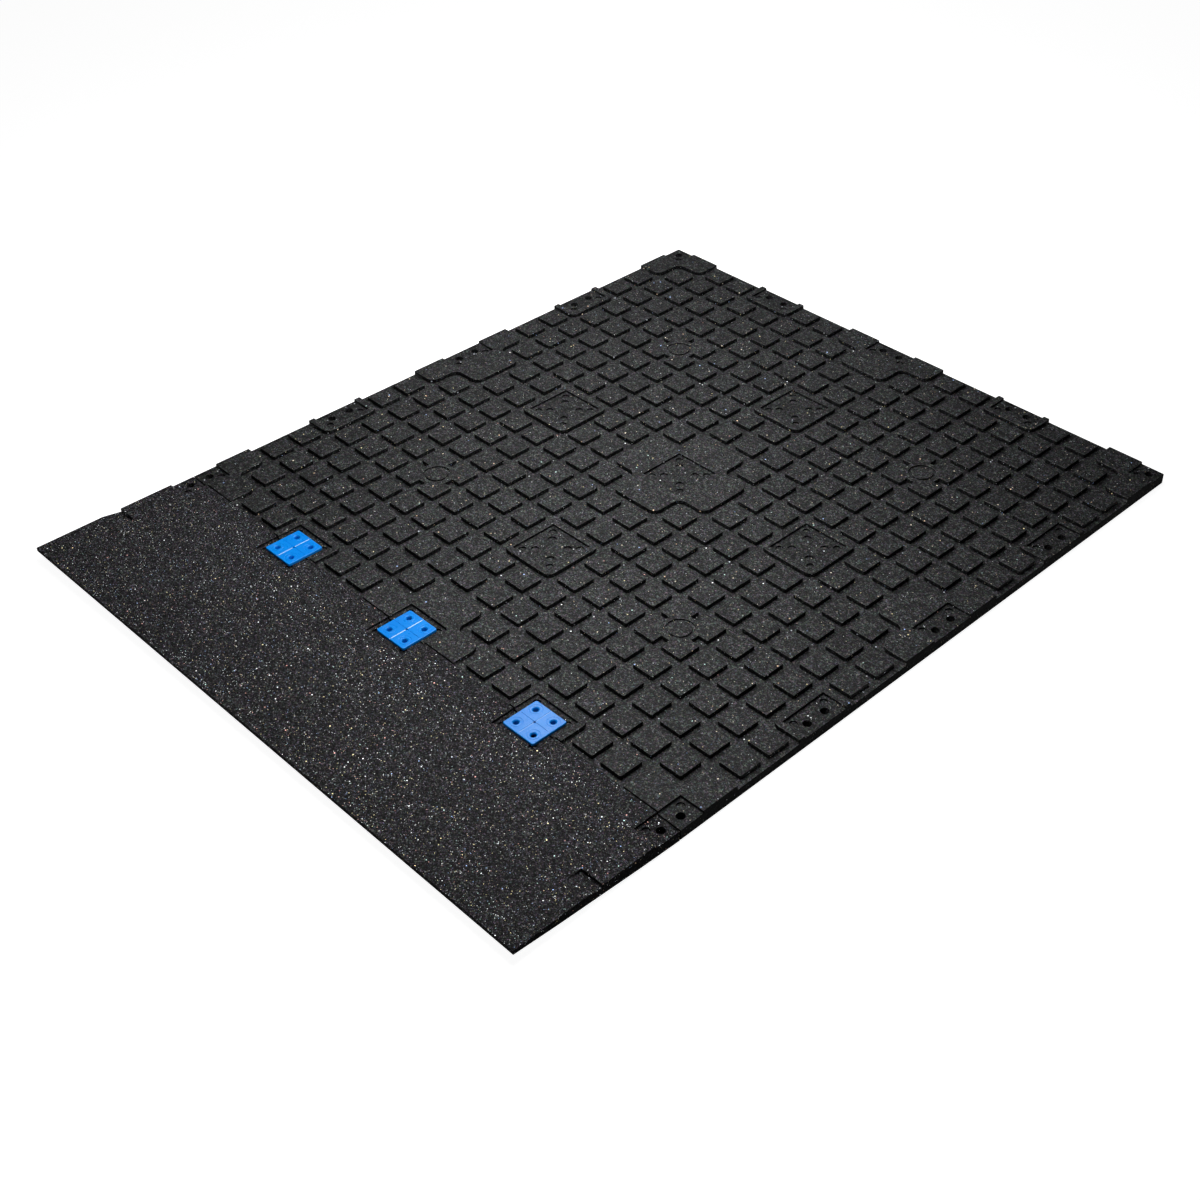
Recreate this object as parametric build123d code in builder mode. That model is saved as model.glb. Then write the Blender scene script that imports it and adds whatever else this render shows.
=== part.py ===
"""Modular rubber floor mat with a ramp edge, lying tread face down.

The studded underside faces up.  A square mat tile and a ramp tile meet at a
straight seam, and three four-peg plates sunk in their common pockets hold
them together.

Frame: X along the seam, Y from the ramp's thin edge to the mat's far edge,
Z up.  The origin is at the centre of the footprint, on the tread plane.
All lengths are in millimetres.
"""

import os

from build123d import *

os.makedirs("parts", exist_ok=True)

# ------------------------------------------------------------------ driving sizes

# tiles
mat_side = 1000.0
ramp_run = 250.0
thickness = 20.0
thin_edge = 6.0
ramp_crown = 1.6
seam_gap = 1.4
tread_edge_round = 1.5

# studs and the channels between them
studs_per_quadrant = 10
stud_side = 36.0
stud_corner_round = 2.0
stud_pitch = 49.6
channel_depth = 6.5

# connector pockets on a square lattice, and their peg holes
lattice = 250.0
pocket_side = 75.0
pocket_depth = 4.0
peg_spacing = 32.0
peg_hole_radius = 6.0
peg_hole_depth = 11.0
dimple_radius = 5.5
dimple_depth = 2.5
dimple_offset = 28.0
blind_peg_depth = 2.5

# raised plain pads round the pockets
frame_pad_side = 95.0
frame_pad_round = 12.5
cross_reach = 94.4
cross_half_width = 44.8
cross_outer_round = 14.0
cross_inner_round = 12.0

# round boss on each quadrant's middle channel crossing
boss_radius = 27.0
boss_ring_outer = 20.0
boss_ring_inner = 16.0
boss_ring_depth = 2.5

# lifting recess in each end of the ramp
lift_width = 35.0
lift_length = 28.0
lift_depth = 5.0
lift_start = 120.0

# connector plates
plate_side = 56.0
plate_thickness = 4.0
plate_corner_round = 3.0
plate_edge_round = 1.0
peg_radius = 5.7
peg_bore_radius = 3.5
bore_flare = 1.4
peg_length = 9.0
centre_hole_radius = 1.75
cross_line_width = 1.2
cross_line_depth = 0.4
ring_radius = 8.0
ring_width = 0.8

# how near its nominal place or radius a corner or edge must lie to be picked
near = 1.0

# ------------------------------------------------------------------ derived places

half = mat_side / 2
mat_centre_y = ramp_run / 2
seam_y = mat_centre_y - half
thin_edge_y = seam_y - ramp_run
pocket_floor = thickness - pocket_depth
channel_floor = thickness - channel_depth

mat_frame = Plane((0, mat_centre_y, 0))
mat_top = mat_frame.offset(thickness)
mat_pocket = mat_frame.offset(pocket_floor)
seam_top = Plane((0, seam_y, thickness))
seam_pocket = Plane((0, seam_y, pocket_floor))

lattice_steps = range(-2, 3)
lattice_points = [(i * lattice, j * lattice) for i in lattice_steps for j in lattice_steps]
boss_points = [(x, y) for x, y in lattice_points if abs(x) == abs(y) == lattice]
pocket_points = [p for p in lattice_points if p not in boss_points]
cross_points = [(x, y) for x, y in pocket_points if x % half == 0 and y % half == 0]
frame_pad_points = [p for p in pocket_points if p not in cross_points]
edge_pockets = [(x, y) for x, y in pocket_points if max(abs(x), abs(y)) == half]
inner_pockets = [p for p in pocket_points if p not in edge_pockets]
seam_pocket_xs = [i * lattice for i in lattice_steps]
plate_places = {
    "connector_plate_left": -lattice,
    "connector_plate_middle": 0.0,
    "connector_plate_right": lattice,
}


# studs of the four quadrants, round the boss points
stud_steps = [(i - (studs_per_quadrant - 1) / 2) * stud_pitch for i in range(studs_per_quadrant)]
stud_points = [(x + dx, y + dy) for x, y in boss_points for dx in stud_steps for dy in stud_steps]


def under_cross(point):
    """Whether a cross-shaped pad covers this stud's place."""
    offsets = [(abs(point[0] - x), abs(point[1] - y)) for x, y in cross_points]
    return any(min(o) < cross_half_width and max(o) < cross_reach for o in offsets)


def four_around(points, reach):
    """The four diagonal neighbours, at +-reach in x and y, of each point."""
    signs = [(-1, -1), (-1, 1), (1, -1), (1, 1)]
    return [(x + sx * reach, y + sy * reach) for x, y in points for sx, sy in signs]


def on_mat(points):
    """The points that lie inside the mat tile's outline."""
    return [(x, y) for x, y in points if max(abs(x), abs(y)) < half]


def on_ramp(points):
    """The points, measured from the seam, that lie on the ramp's side of it."""
    return [(x, y) for x, y in points if abs(x) < half and y < 0]


# ------------------------------------------------------------------ main mat

# plan of one cross-shaped pad, with rounded tips and hollow inner corners
with BuildSketch() as cross_pad:
    Rectangle(2 * cross_reach, 2 * cross_half_width)
    Rectangle(2 * cross_half_width, 2 * cross_reach)
    tips = cross_pad.vertices().filter_by(lambda v: max(abs(v.X), abs(v.Y)) > cross_reach - near)
    fillet(tips, cross_outer_round)
    corner = cross_half_width
    hollows = cross_pad.vertices().filter_by(
        lambda v: abs(abs(v.X) - corner) < near and abs(abs(v.Y) - corner) < near
    )
    fillet(hollows, cross_inner_round)

# channel network: the whole face less everything that stands at full height
with BuildSketch(mat_top) as channels:
    Rectangle(mat_side, mat_side)
    with Locations(*[p for p in stud_points if not under_cross(p)]):
        RectangleRounded(stud_side, stud_side, stud_corner_round, mode=Mode.SUBTRACT)
    with Locations(*frame_pad_points):
        RectangleRounded(frame_pad_side, frame_pad_side, frame_pad_round, mode=Mode.SUBTRACT)
    with Locations(*cross_points):
        add(cross_pad.sketch, mode=Mode.SUBTRACT)
    with Locations(*boss_points):
        Circle(boss_radius, mode=Mode.SUBTRACT)

with BuildPart() as main_mat:
    with BuildSketch(mat_frame):
        Rectangle(mat_side, mat_side)
    extrude(amount=thickness)
    # rounded lower edges along the three free sides
    free_edges = main_mat.edges().filter_by(Plane.XY).group_by(Axis.Z)[0].sort_by(Axis.Y)[1:]
    fillet(free_edges, tread_edge_round)
    # channels between the studs and pads
    add(channels.sketch)
    extrude(amount=-channel_depth, mode=Mode.SUBTRACT)
    # sunk pockets for the connector plates
    with BuildSketch(mat_top):
        with Locations(*pocket_points):
            Rectangle(pocket_side, pocket_side)
    extrude(amount=-pocket_depth, mode=Mode.SUBTRACT)
    # deep peg holes in every pocket that reaches the mat's edge
    with BuildSketch(mat_pocket):
        with Locations(*on_mat(four_around(edge_pockets, peg_spacing / 2))):
            Circle(peg_hole_radius)
    extrude(amount=-peg_hole_depth, mode=Mode.SUBTRACT)
    # the same places in the inner pockets are only marked
    with BuildSketch(mat_pocket):
        with Locations(*four_around(inner_pockets, peg_spacing / 2)):
            Circle(peg_hole_radius)
    extrude(amount=-blind_peg_depth, mode=Mode.SUBTRACT)
    # shallow dimples near the pocket corners
    with BuildSketch(mat_pocket):
        with Locations(*on_mat(four_around(pocket_points, dimple_offset))):
            Circle(dimple_radius)
    extrude(amount=-dimple_depth, mode=Mode.SUBTRACT)
    # ring groove in each round boss
    with BuildSketch(mat_top):
        with Locations(*boss_points):
            Circle(boss_ring_outer)
            Circle(boss_ring_inner, mode=Mode.SUBTRACT)
    extrude(amount=-boss_ring_depth, mode=Mode.SUBTRACT)

main_mat.part.label = "main_mat"
export_step(main_mat.part, "parts/main_mat.step")

# ------------------------------------------------------------------ ramp tile

ramp_seam_y = seam_y - seam_gap
ramp_middle = ((ramp_seam_y + thin_edge_y) / 2, (thickness - thin_edge) / 2 - ramp_crown)
lift_top_y = seam_y - lift_start
lift_end_y = lift_top_y - lift_length

with BuildPart() as ramp_tile:
    # side profile: flat top as it lies, and a slightly crowned tread below
    with BuildSketch(Plane.YZ.offset(-half)):
        with BuildLine():
            Polyline(
                (ramp_seam_y, 0),
                (ramp_seam_y, thickness),
                (thin_edge_y, thickness),
                (thin_edge_y, thickness - thin_edge),
            )
            ThreePointArc((thin_edge_y, thickness - thin_edge), ramp_middle, (ramp_seam_y, 0))
        make_face()
    extrude(amount=mat_side)
    # the ramp's share of the five seam pockets
    with BuildSketch(seam_top):
        with Locations(*[(x, 0) for x in seam_pocket_xs]):
            Rectangle(pocket_side, pocket_side)
    extrude(amount=-pocket_depth, mode=Mode.SUBTRACT)
    # deep peg holes on the ramp's side of the seam
    seam_centres = [(x, 0) for x in seam_pocket_xs]
    with BuildSketch(seam_pocket):
        with Locations(*on_ramp(four_around(seam_centres, peg_spacing / 2))):
            Circle(peg_hole_radius)
    extrude(amount=-peg_hole_depth, mode=Mode.SUBTRACT)
    # shallow dimples near the pocket corners
    with BuildSketch(seam_pocket):
        with Locations(*on_ramp(four_around(seam_centres, dimple_offset))):
            Circle(dimple_radius)
    extrude(amount=-dimple_depth, mode=Mode.SUBTRACT)
    # wedge-shaped lifting recess in each end
    for end_x in (-half, half - lift_width):
        with BuildSketch(Plane.YZ.offset(end_x)):
            with BuildLine():
                Polyline(
                    (lift_end_y, thickness),
                    (lift_top_y, thickness),
                    (lift_top_y, thickness - lift_depth),
                    close=True,
                )
            make_face()
        extrude(amount=lift_width, mode=Mode.SUBTRACT)

ramp_tile.part.label = "ramp_tile"
export_step(ramp_tile.part, "parts/ramp_tile.step")

# ------------------------------------------------------------------ connector plates

for name, plate_x in plate_places.items():
    plate_frame = Plane((plate_x, seam_y, pocket_floor))
    plate_top = plate_frame.offset(plate_thickness)
    with BuildPart() as plate:
        with BuildSketch(plate_frame):
            RectangleRounded(plate_side, plate_side, plate_corner_round)
        extrude(amount=plate_thickness)
        fillet(plate.faces().sort_by(Axis.Z)[-1].edges(), plate_edge_round)
        # four tubular pegs under the plate
        with BuildSketch(plate_frame):
            with GridLocations(peg_spacing, peg_spacing, 2, 2):
                Circle(peg_radius)
        extrude(amount=-peg_length)
        # their bores run up through the plate
        with BuildSketch(plate_top):
            with GridLocations(peg_spacing, peg_spacing, 2, 2):
                Circle(peg_bore_radius)
        extrude(amount=-(plate_thickness + peg_length), mode=Mode.SUBTRACT)
        # which open out in a short funnel at the top
        top_circles = plate.edges().filter_by(GeomType.CIRCLE).group_by(Axis.Z)[-1]
        mouths = top_circles.filter_by(lambda e: abs(e.radius - peg_bore_radius) < near)
        chamfer(mouths, bore_flare)
        # centre hole
        with BuildSketch(plate_top):
            Circle(centre_hole_radius)
        extrude(amount=-plate_thickness, mode=Mode.SUBTRACT)
        # fine moulded lines: a cross on the middle axes and a ring round each bore
        with BuildSketch(plate_top):
            Rectangle(plate_side - 2 * plate_corner_round, cross_line_width)
            Rectangle(cross_line_width, plate_side - 2 * plate_corner_round)
            with GridLocations(peg_spacing, peg_spacing, 2, 2):
                Circle(ring_radius + ring_width)
                Circle(ring_radius, mode=Mode.SUBTRACT)
        extrude(amount=-cross_line_depth, mode=Mode.SUBTRACT)
    plate.part.label = name
    export_step(plate.part, f"parts/{name}.step")
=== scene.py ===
"""Looks for the modular rubber floor mat: granulate rubber, blue plates, a pale studio and the photo's viewpoint."""

import math

import bmesh
import bpy
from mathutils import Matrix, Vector


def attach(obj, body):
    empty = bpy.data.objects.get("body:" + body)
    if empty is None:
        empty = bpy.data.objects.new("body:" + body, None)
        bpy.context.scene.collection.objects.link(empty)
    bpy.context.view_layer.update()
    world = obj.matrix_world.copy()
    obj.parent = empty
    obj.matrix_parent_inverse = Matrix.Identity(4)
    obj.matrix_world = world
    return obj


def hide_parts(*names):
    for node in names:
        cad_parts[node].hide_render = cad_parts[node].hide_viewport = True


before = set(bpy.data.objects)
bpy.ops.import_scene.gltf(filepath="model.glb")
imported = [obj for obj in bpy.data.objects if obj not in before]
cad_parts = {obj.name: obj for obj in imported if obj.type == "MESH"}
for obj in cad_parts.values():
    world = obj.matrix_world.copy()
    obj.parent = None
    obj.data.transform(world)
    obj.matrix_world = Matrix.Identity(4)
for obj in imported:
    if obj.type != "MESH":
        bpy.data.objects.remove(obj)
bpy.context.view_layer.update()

MM = 0.001

# heights of the model's faces
TOP = 20 * MM
POCKET_FLOOR = 16 * MM
CHANNEL_FLOOR = 13.5 * MM
# the y of the seam and of the ramp's outer edge, and the x of the right side
SEAM = -375 * MM
THIN_EDGE = -625 * MM
SIDE = 500 * MM
# from one connector plate to the next, the middle one being at x = 0
PLATE_STEP = 250 * MM


# ---------------------------------------------------------------- camera

CAMERA_PLACE = Vector((1.4435, -1.3208, 1.4250))
CAMERA_TARGET = Vector((0.2126, -0.0798, 0.0200))
CAMERA_LENS = 50.94
CAMERA_SENSOR = 36.0
CAMERA_SHIFT_X = -0.0701
CAMERA_CLIP_END = 100.0


def facing(place, target):
    """The rotation of a camera or light that looks from place to target."""
    return (Vector(target) - Vector(place)).to_track_quat("-Z", "Y").to_euler()


def add_camera():
    data = bpy.data.cameras.new("camera")
    data.lens = CAMERA_LENS
    data.sensor_width = CAMERA_SENSOR
    data.shift_x = CAMERA_SHIFT_X
    data.clip_end = CAMERA_CLIP_END
    camera = bpy.data.objects.new("camera", data)
    camera.location = CAMERA_PLACE
    camera.rotation_euler = facing(CAMERA_PLACE, CAMERA_TARGET)
    bpy.context.scene.collection.objects.link(camera)
    bpy.context.scene.camera = camera


# ---------------------------------------------------------------- light and floor

# a narrow light that runs along the mat's diagonal, close above it, and a weak wide one behind
OVERHEAD_PLACE = (-0.08, 0.03, 0.8)
OVERHEAD_TURN = (0, 0, math.radians(45))
OVERHEAD_SIZE = (0.4, 1.5)
OVERHEAD_POWER = 14.4
BACK_PLACE = (-1.6, 1.8, 1.6)
BACK_SIZE = (1.4, 1.4)
BACK_POWER = 2.4

# the surroundings light the mat faintly, and the camera sees them pale
FILL_COLOUR = (0.97, 0.98, 1.0, 1)
FILL_STRENGTH = 0.04
SEEN_COLOUR = (0.93, 0.94, 0.95, 1)

# the floor lies just below the mat, and its own light makes it an even near-white
FLOOR_REACH = 12.0
FLOOR_DROP = 0.2 * MM
FLOOR_COLOUR = (0.5, 0.5, 0.5, 1)
FLOOR_GLOW_COLOUR = (1, 1, 1, 1)
FLOOR_GLOW = 0.93
FLOOR_ROUGHNESS = 0.9
FLOOR_SPECULAR = 0.1


def area_light(name, place, rotation, size, power):
    data = bpy.data.lights.new(name, "AREA")
    data.shape = "RECTANGLE"
    data.size, data.size_y = size
    data.energy = power
    light = bpy.data.objects.new(name, data)
    light.location = place
    light.rotation_euler = rotation
    bpy.context.scene.collection.objects.link(light)


def add_surroundings():
    world = bpy.data.worlds.new("studio")
    world.use_nodes = True
    tree = world.node_tree
    fill = tree.nodes["Background"]
    fill.inputs["Color"].default_value = FILL_COLOUR
    fill.inputs["Strength"].default_value = FILL_STRENGTH
    seen = tree.nodes.new("ShaderNodeBackground")
    seen.inputs["Color"].default_value = SEEN_COLOUR
    path = tree.nodes.new("ShaderNodeLightPath")
    mix = tree.nodes.new("ShaderNodeMixShader")
    tree.links.new(path.outputs["Is Camera Ray"], mix.inputs[0])
    tree.links.new(fill.outputs[0], mix.inputs[1])
    tree.links.new(seen.outputs[0], mix.inputs[2])
    tree.links.new(mix.outputs[0], tree.nodes["World Output"].inputs["Surface"])
    bpy.context.scene.world = world


def add_floor():
    mesh = bpy.data.meshes.new("floor")
    corners = [(-1, -1), (1, -1), (1, 1), (-1, 1)]
    mesh.from_pydata([(x * FLOOR_REACH, y * FLOOR_REACH, -FLOOR_DROP) for x, y in corners], [], [(0, 1, 2, 3)])
    floor = bpy.data.objects.new("floor", mesh)
    bpy.context.scene.collection.objects.link(floor)
    paper = bpy.data.materials.new("floor_paper")
    paper.use_nodes = True
    shader = paper.node_tree.nodes["Principled BSDF"]
    shader.inputs["Base Color"].default_value = FLOOR_COLOUR
    shader.inputs["Roughness"].default_value = FLOOR_ROUGHNESS
    shader.inputs["Specular IOR Level"].default_value = FLOOR_SPECULAR
    shader.inputs["Emission Color"].default_value = FLOOR_GLOW_COLOUR
    shader.inputs["Emission Strength"].default_value = FLOOR_GLOW
    mesh.materials.append(paper)


def add_studio():
    view = bpy.context.scene.view_settings
    view.view_transform = "Standard"
    view.look = "None"
    area_light("overhead", OVERHEAD_PLACE, OVERHEAD_TURN, OVERHEAD_SIZE, OVERHEAD_POWER)
    area_light("back", BACK_PLACE, facing(BACK_PLACE, (0, 0, 0)), BACK_SIZE, BACK_POWER)
    add_surroundings()
    add_floor()


# ---------------------------------------------------------------- node graphs


class Graph:
    """Short calls for building one material's nodes."""

    def __init__(self, name):
        self.material = bpy.data.materials.new(name)
        self.material.use_nodes = True
        self.tree = self.material.node_tree
        self.shader = self.tree.nodes["Principled BSDF"]
        coordinates = self.add("ShaderNodeTexCoord").outputs
        self.place = coordinates["Object"]
        self.normal = coordinates["Normal"]

    def add(self, kind, **settings):
        node = self.tree.nodes.new(kind)
        for key, value in settings.items():
            setattr(node, key, value)
        return node

    def put(self, socket, value):
        """A link from value if it's an output, and otherwise the socket's own value."""
        if isinstance(value, bpy.types.NodeSocket):
            self.tree.links.new(value, socket)
        else:
            socket.default_value = value

    def maths(self, operation, a, b=0.0, c=0.0, clamp=False):
        node = self.add("ShaderNodeMath", operation=operation, use_clamp=clamp)
        for socket, value in zip(node.inputs, (a, b, c)):
            self.put(socket, value)
        return node.outputs[0]

    def product(self, first, *others):
        for other in others:
            first = self.maths("MULTIPLY", first, other)
        return first

    def near(self, value, middle, reach):
        """1 where value is within reach of middle, and 0 elsewhere."""
        return self.maths("COMPARE", value, middle, reach)

    def span(self, value, low, high, to_low=0.0, to_high=1.0):
        """value's range from low to high stretched over to_low to to_high, and held there beyond it."""
        node = self.add("ShaderNodeMapRange")
        self.put(node.inputs["Value"], value)
        node.inputs["From Min"].default_value = low
        node.inputs["From Max"].default_value = high
        node.inputs["To Min"].default_value = to_low
        node.inputs["To Max"].default_value = to_high
        return node.outputs[0]

    def only(self, mask, factor):
        """factor where mask is 1, and 1 where it is 0."""
        return self.span(mask, 0, 1, 1, factor)

    def vector(self, operation, *values):
        node = self.add("ShaderNodeVectorMath", operation=operation)
        for socket, value in zip(node.inputs, values):
            self.put(socket, value)
        return node.outputs[0]

    def scaled(self, vector, factor):
        node = self.add("ShaderNodeVectorMath", operation="SCALE")
        self.put(node.inputs[0], vector)
        self.put(node.inputs["Scale"], factor)
        return node.outputs[0]

    def axes(self, vector):
        node = self.add("ShaderNodeSeparateXYZ")
        self.put(node.inputs[0], vector)
        return list(node.outputs)

    def joined(self, *shares):
        node = self.add("ShaderNodeCombineXYZ")
        for socket, share in zip(node.inputs, shares):
            self.put(socket, share)
        return node.outputs[0]

    def noise(self, scale, detail, roughness=0.5, colour=False):
        node = self.add("ShaderNodeTexNoise")
        self.put(node.inputs["Vector"], self.place)
        node.inputs["Scale"].default_value = scale
        node.inputs["Detail"].default_value = detail
        node.inputs["Roughness"].default_value = roughness
        return node.outputs["Color" if colour else "Fac"]

    def shift(self, vector, amount, noise):
        """vector moved by noise, from -amount/2 to +amount/2 on each axis."""
        centred = self.vector("SUBTRACT", noise, (0.5, 0.5, 0.5))
        return self.vector("MULTIPLY_ADD", centred, (amount, amount, amount), vector)

    def cells(self, size, vector):
        """Irregular cells: the distance from a cell's middle, and three random numbers that each cell has."""
        node = self.add("ShaderNodeTexVoronoi")
        self.put(node.inputs["Vector"], vector)
        node.inputs["Scale"].default_value = 1 / size
        parts = self.add("ShaderNodeSeparateColor")
        self.put(parts.inputs[0], node.outputs["Color"])
        return [node.outputs["Distance"], *parts.outputs]

    def steps(self, value, stops):
        """One of the stops' colours, each holding up to the next stop."""
        node = self.add("ShaderNodeValToRGB")
        bar = node.color_ramp
        bar.interpolation = "CONSTANT"
        while len(bar.elements) < len(stops):
            bar.elements.new(0.5)
        for element, (at, colour) in zip(bar.elements, stops):
            element.position = at
            element.color = (*colour, 1)
        self.put(node.inputs[0], value)
        return node.outputs[0]

    def mix(self, share, a, b):
        node = self.add("ShaderNodeMix", data_type="RGBA")
        self.put(node.inputs["Factor"], share)
        for name, colour in (("A", a), ("B", b)):
            self.put(node.inputs[name], colour if isinstance(colour, bpy.types.NodeSocket) else (*colour, 1))
        return node.outputs["Result"]

    def bump(self, height, distance, strength, below=None):
        node = self.add("ShaderNodeBump")
        node.inputs["Distance"].default_value = distance
        node.inputs["Strength"].default_value = strength
        self.put(node.inputs["Height"], height)
        if below is not None:
            self.put(node.inputs["Normal"], below)
        return node.outputs[0]


# ---------------------------------------------------------------- rubber granulate

# noises, as scale per metre, detail and, if it isn't 0.5, roughness: the clouds are as wide as a hand, the patches as
# wide as a fingertip, one noise makes the grains ragged, and one is grit finer than they are
CLOUD_NOISE = (9, 3)
PATCH_NOISE = (60, 3)
RAGGED_NOISE = (500, 2, 0.6)
GRIT_NOISE = (1600, 3, 0.6)

# grains: how far their outlines wander and how large the coarse ones are, both in fine grains, and how much of a
# spot's lightness comes from its coarse and its fine grain
RAGGED = 0.4
COARSE_SIZE = 2
COARSE_WEIGHT = 0.35
FINE_WEIGHT = 0.65
# the part of each noise's range that counts
PATCH_RANGE = (0.3, 0.7)
CLOUD_RANGE = (0.35, 0.65)

# painted shade: upright faces are darkened, less so as a face levels out, pocket floors a little, and a band at the
# seam
UPRIGHT_SHADE_SHARE = 0.42
UPRIGHT_SHADE_TILT = (0.35, 0.9)
POCKET_SHADE_SHARE = 0.85
POCKET_REACH = 0.4 * MM
SEAM_SHADE_SHARE = 0.3
SEAM_SHADE_MIDDLE = SEAM - 0.7 * MM
SEAM_SHADE_REACH = 1.3 * MM
# painted light: how far from the middle in x the ends' painted lightness sets in, and where it is full
ENDS_RANGE = (100 * MM, SIDE)
# painted shade: the outer sides are darkened nearly to black, but not the faces that lie level beside them
SIDE_SHADE_SHARE = 0.2
SIDE_REACH = 1 * MM
LEVEL = 0.99

# flecks are more or less common from cloud to cloud, scarcer in the channels, and scarcer near the seam if asked
FLECK_DRIFT = (0.75, 1.25)
CHANNEL_FLECKS = 0.4
CHANNEL_REACH = 1.2 * MM
CALM_FLECKS = 0.45
# a fleck is a little smaller than its cell, the power leaves few flecks near the lightest, and the base lifts them all
FLECK_RIM = (0.3, 0.45)
FLECK_POWER = 2.2
FLECK_BASE = 0.1
# flecks are mixed from grey and from these, each holding up to the next
FLECK_COLOURFUL = 0.75
FLECK_GREY = (0.62, 0.62, 0.62)
FLECK_COLOURS = [
    (0.00, (0.74, 0.78, 0.80)),
    (0.26, (0.48, 0.54, 0.62)),
    (0.38, (0.66, 0.56, 0.38)),
    (0.58, (0.64, 0.40, 0.18)),
    (0.68, (0.18, 0.34, 0.70)),
    (0.78, (0.26, 0.48, 0.42)),
    (0.84, (0.72, 0.62, 0.24)),
    (0.95, (0.54, 0.20, 0.14)),
]

# finish: rounded edges, whose normals are neither level nor upright, are rubbed smoother and shine more
RUBBED_TILT = 0.65
RUBBED_REACH = 0.3
RUBBED_ROUGHNESS = 0.6
RUBBED_GLOSS = 3
RUBBER_ROUGHNESS = (0.62, 0.7)
GRAIN_ROUGHNESS = 0.25
RUBBER_IOR = 1.5
FINE_LUMPS = 0.5
LUMPS_STRENGTH = 1.0
GRIT_RELIEF = 0.4
GRIT_STRENGTH = 0.6


def flecks(g, cells, share, glow, below):
    """below, with this share of the cells turned into pale or coloured flecks."""
    distance, lightness, pick, hue = cells
    on = g.maths("LESS_THAN", pick, share)
    core = g.span(distance, *FLECK_RIM, 1, 0)
    bright = g.product(g.maths("POWER", lightness, FLECK_POWER), glow)
    hued = g.mix(FLECK_COLOURFUL, FLECK_GREY, g.steps(hue, FLECK_COLOURS))
    colour = g.scaled(hued, g.maths("ADD", bright, FLECK_BASE))
    return g.mix(g.maths("MULTIPLY", on, core, clamp=True), below, colour)


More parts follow.
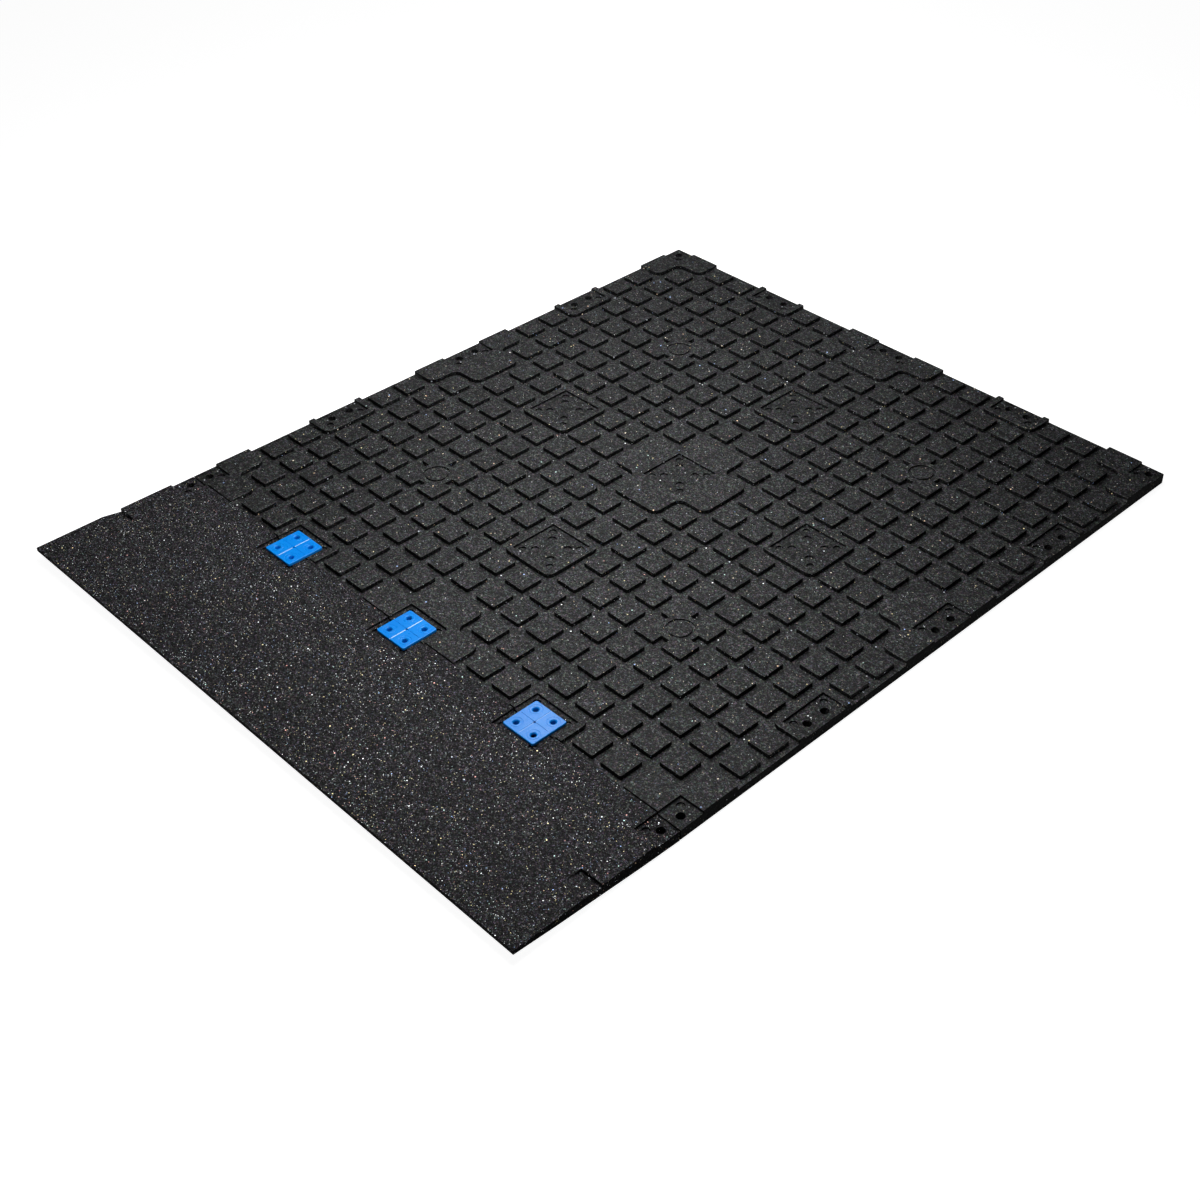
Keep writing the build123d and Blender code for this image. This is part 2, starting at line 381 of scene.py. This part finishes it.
def granulate(
    name, *, tone, contrast, patchy, tint, grain, coarse_flecks, fine_flecks, glow, relief, gloss, painted_light_slope, ends, calm=None
):
    """Bound rubber granules: near-black grains with some pale and coloured ones.

    tone           the grains' colour
    contrast       how far single grains are lighter or darker than that
    patchy         how much that also drifts over a fingertip's width
    tint           how strong each grain's trace of colour is
    grain          the size of the fine grains
    coarse_flecks  the share of the coarse grains that are flecks
    fine_flecks    the share of the fine grains that are flecks
    glow           how light the lightest flecks are
    relief         how far the grains stand out
    gloss          the specular level
    painted_light_slope painted light: how much lighter the left end is, and how much darker the right one
    ends           painted light: how much lighter both ends are than the middle
    calm           the two places in y between which the flecks thin out towards the seam, if they do
    """
    g = Graph(name)
    x, y, z = g.axes(g.place)
    warped = g.shift(g.place, RAGGED * grain, g.noise(*RAGGED_NOISE, colour=True))
    coarse = g.cells(COARSE_SIZE * grain, warped)
    fine = g.cells(grain, warped)
    coarse_distance, coarse_tone, coarse_pick, _ = coarse
    fine_distance, fine_tone, fine_pick, fine_hue = fine
    cloud = g.noise(*CLOUD_NOISE)
    patch = g.noise(*PATCH_NOISE)

    # near-black grains, each with its own lightness, whose middle is 0.5, and a trace of colour
    level = g.maths("ADD", g.product(coarse_tone, COARSE_WEIGHT), g.product(fine_tone, FINE_WEIGHT))
    level = g.maths("ADD", level, g.span(patch, *PATCH_RANGE, -0.5 - patchy, -0.5 + patchy))
    level = g.maths("EXPONENT", g.product(level, contrast))
    traces = g.joined(fine_pick, coarse_pick, fine_hue)
    untinted = 1 - tint / 2
    tinge = g.vector("MULTIPLY_ADD", traces, (tint, tint, tint), (untinted, untinted, untinted))
    grains = g.vector("MULTIPLY", tinge, tone)

    # painted shade on upright faces, the pocket floors and at the seam, and painted light that differs along the mat
    upness = g.maths("ABSOLUTE", g.axes(g.normal)[2])
    in_pocket = g.near(z, POCKET_FLOOR, POCKET_REACH)
    by_seam = g.near(y, SEAM_SHADE_MIDDLE, SEAM_SHADE_REACH)
    upright_shade = g.span(upness, *UPRIGHT_SHADE_TILT, UPRIGHT_SHADE_SHARE, 1)
    painted_shade = g.product(upright_shade, g.only(in_pocket, POCKET_SHADE_SHARE), g.only(by_seam, SEAM_SHADE_SHARE))
    off_centre = g.maths("ABSOLUTE", x)
    # painted light: lighter or darker from one end to the other, and the ends lighter or darker than the middle
    painted_light_along_x = g.product(g.span(x, -SIDE, SIDE, 1 + painted_light_slope, 1 - painted_light_slope), g.span(off_centre, *ENDS_RANGE, 1, 1 + ends))
    colour = g.scaled(grains, g.product(level, painted_shade, painted_light_along_x))

    # the pale and coloured grains
    in_channel = g.near(z, CHANNEL_FLOOR, CHANNEL_REACH)
    richness = g.product(g.span(cloud, *CLOUD_RANGE, *FLECK_DRIFT), g.only(in_channel, CHANNEL_FLECKS))
    if calm:
        richness = g.product(richness, g.span(y, *calm, 1, CALM_FLECKS))
    colour = flecks(g, fine, g.product(richness, fine_flecks), glow, colour)
    colour = flecks(g, coarse, g.product(richness, coarse_flecks), glow, colour)

    # painted shade on the outer sides
    at_side = g.near(off_centre, SIDE, SIDE_REACH)
    at_thin_edge = g.near(y, THIN_EDGE, SIDE_REACH)
    outside = g.product(g.maths("MAXIMUM", at_side, at_thin_edge), g.maths("LESS_THAN", upness, LEVEL))
    black = g.only(outside, SIDE_SHADE_SHARE)
    g.put(g.shader.inputs["Base Color"], g.scaled(colour, black))

    # the finish
    rubbed = g.near(upness, RUBBED_TILT, RUBBED_REACH)
    rough = g.maths("ADD", g.span(patch, *PATCH_RANGE, *RUBBER_ROUGHNESS), g.product(fine_tone, GRAIN_ROUGHNESS))
    g.put(g.shader.inputs["Roughness"], g.product(rough, g.only(rubbed, RUBBED_ROUGHNESS)))
    g.shader.inputs["IOR"].default_value = RUBBER_IOR
    # the last node multiplies by gloss alone, because a glTF export keeps that one number as the specular level
    # the painted shade of upright faces, pocket floors, seam band and outer sides also lowers the specular level there
    shine = g.product(painted_shade, black, g.only(rubbed, RUBBED_GLOSS))
    g.put(g.shader.inputs["Specular IOR Level"], g.product(shine, gloss))
    lumps = g.bump(g.maths("ADD", coarse_distance, g.product(fine_distance, FINE_LUMPS)), relief, LUMPS_STRENGTH)
    grit = g.bump(g.noise(*GRIT_NOISE), GRIT_RELIEF * relief, GRIT_STRENGTH, below=lumps)
    g.put(g.shader.inputs["Normal"], grit)
    return g.material


# ---------------------------------------------------------------- plate plastic

PLATE_CLOUD = (30, 3)
PLATE_CLOUD_RANGE = (0.35, 0.65)
PLATE_BLUES = ((0.0005, 0.235, 0.80), (0.002, 0.265, 0.85))
# painted shade: each plate is a little darker than the one to its left, down to this on the right one
PLATE_PAINTED_SHADE = 0.74
# painted highlight: the moulded line across the seam is pale, more on the left and middle plates than on the right one
LINE_HIGHLIGHT_COLOUR = (0.62, 0.80, 0.98)
LINE_HIGHLIGHT_STRENGTH = (0.85, 0.25)
LINE_REACH = 0.65 * MM
LINE_LEVEL = TOP - 0.3 * MM
LINE_LEVEL_REACH = 0.29 * MM
PLATE_SPECULAR = 0.3
PLATE_SMEARS = (220, 4)
PLATE_SMEAR_RANGE = (0.3, 0.7)
PLATE_ROUGHNESS = (0.26, 0.36)
PLATE_GRAIN = (2400, 3)
PLATE_RELIEF = 0.03 * MM
PLATE_RELIEF_STRENGTH = 0.4


def plate_plastic():
    """Satin blue plastic, one material for the three plates."""
    g = Graph("blue_plastic")
    x, _, z = g.axes(g.place)
    blue = g.mix(g.span(g.noise(*PLATE_CLOUD), *PLATE_CLOUD_RANGE), *PLATE_BLUES)
    # painted shade: the plates darken from left to right
    blue_with_painted_shade = g.scaled(blue, g.span(x, -PLATE_STEP, PLATE_STEP, 1, PLATE_PAINTED_SHADE))
    middle = g.maths("SNAP", g.maths("ADD", x, PLATE_STEP / 2), PLATE_STEP)
    on_line = g.near(x, middle, LINE_REACH)
    near_top = g.near(z, LINE_LEVEL, LINE_LEVEL_REACH)
    # painted highlight: the moulded line is drawn pale
    pale = g.product(on_line, near_top, g.span(x, 0, PLATE_STEP, *LINE_HIGHLIGHT_STRENGTH))
    g.put(g.shader.inputs["Base Color"], g.mix(pale, blue_with_painted_shade, LINE_HIGHLIGHT_COLOUR))
    g.shader.inputs["Specular IOR Level"].default_value = PLATE_SPECULAR
    g.put(g.shader.inputs["Roughness"], g.span(g.noise(*PLATE_SMEARS), *PLATE_SMEAR_RANGE, *PLATE_ROUGHNESS))
    g.put(g.shader.inputs["Normal"], g.bump(g.noise(*PLATE_GRAIN), PLATE_RELIEF, PLATE_RELIEF_STRENGTH))
    return g.material


# ---------------------------------------------------------------- pieces

# vertices this near are welded, faces that meet at less than FLAT are merged, and edges past SHARP are rounded
WELD = 0.01 * MM
FLAT = math.radians(1)
SHARP = math.radians(35)
# a face that looks up from further below the top than this is a floor
FLOOR_DEPTH = 0.1 * MM
# edges this near the seam are rounded by this share only, so that the seam stays narrow
SEAM_REACH = 2 * MM
SEAM_ROUNDING = 0.3
RUBBER_ROUNDING = 0.8 * MM
PLASTIC_ROUNDING = 0.45 * MM
ROUNDING_SEGMENTS = 2
# flat faces keep their flat shading beside the roundings
FLAT_FACE_WEIGHT = 100


def from_node(node, name, body, material, round_width):
    """A piece made from a CAD node's mesh: welded, its flat faces merged, its outward edges rounded."""
    bm = bmesh.new()
    bm.from_mesh(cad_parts[node].data)
    bmesh.ops.remove_doubles(bm, verts=bm.verts, dist=WELD)
    # floors of channels, pockets and grooves stay as they are, and only what stands up is rounded
    floors = {f for f in bm.faces if f.normal.z > LEVEL and f.calc_center_median().z < TOP - FLOOR_DEPTH}
    fixed = {v for f in floors for v in f.verts}
    bmesh.ops.dissolve_limit(
        bm,
        angle_limit=FLAT,
        verts=[v for v in bm.verts if v not in fixed],
        edges=[e for e in bm.edges if not floors.intersection(e.link_faces)],
    )
    rounding = bm.edges.layers.float.new("bevel_weight_edge")
    for edge in bm.edges:
        angle = edge.calc_face_angle_signed(0)
        rounded = angle > SHARP and not floors.intersection(edge.link_faces)
        at_seam = all(abs(v.co.y - SEAM) < SEAM_REACH for v in edge.verts)
        if rounded:
            edge[rounding] = SEAM_ROUNDING if at_seam else 1.0
        edge.smooth = rounded or abs(angle) < SHARP
    for face in bm.faces:
        face.smooth = True
        face.material_index = 0
    mesh = bpy.data.meshes.new(name)
    bm.to_mesh(mesh)
    bm.free()
    mesh.materials.append(material)
    piece = bpy.data.objects.new(name, mesh)
    bpy.context.scene.collection.objects.link(piece)
    bevel = piece.modifiers.new("edge_round", "BEVEL")
    bevel.width = round_width
    bevel.segments = ROUNDING_SEGMENTS
    bevel.limit_method = "WEIGHT"
    bevel.use_clamp_overlap = False
    normals = piece.modifiers.new("flat_faces", "WEIGHTED_NORMAL")
    normals.weight = FLAT_FACE_WEIGHT
    normals.keep_sharp = True
    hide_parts(node)
    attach(piece, body)


add_camera()
add_studio()

mat_rubber = granulate(
    "mat_granulate",
    tone=(0.0180, 0.0185, 0.0192),
    contrast=4.4,
    patchy=0.05,
    tint=0.45,
    grain=1.3 * MM,
    coarse_flecks=0.013,
    fine_flecks=0.017,
    glow=2.2,
    relief=0.3 * MM,
    gloss=0.18,
    # painted light: the mat's left end a little darker, its right end a little lighter, both ends a little darker
    painted_light_slope=-0.04,
    ends=-0.03,
)
ramp_rubber = granulate(
    "ramp_granulate",
    tone=(0.0098, 0.0096, 0.0106),
    contrast=6.4,
    patchy=0.02,
    tint=0.5,
    grain=1.0 * MM,
    coarse_flecks=0.014,
    fine_flecks=0.055,
    glow=5.2,
    relief=0.6 * MM,
    gloss=0.12,
    # painted light: the ramp's left end lighter, its right end darker, and both ends lighter than the middle
    painted_light_slope=0.2,
    ends=0.3,
    calm=(SEAM - 45 * MM, SEAM - 20 * MM),
)
from_node("main_mat", "mat_tile", "main_mat", mat_rubber, RUBBER_ROUNDING)
from_node("ramp_tile", "ramp_strip", "ramp", ramp_rubber, RUBBER_ROUNDING)
plastic = plate_plastic()
for side in ("left", "middle", "right"):
    from_node("connector_plate_" + side, "plate_" + side, "plate_" + side, plastic, PLASTIC_ROUNDING)
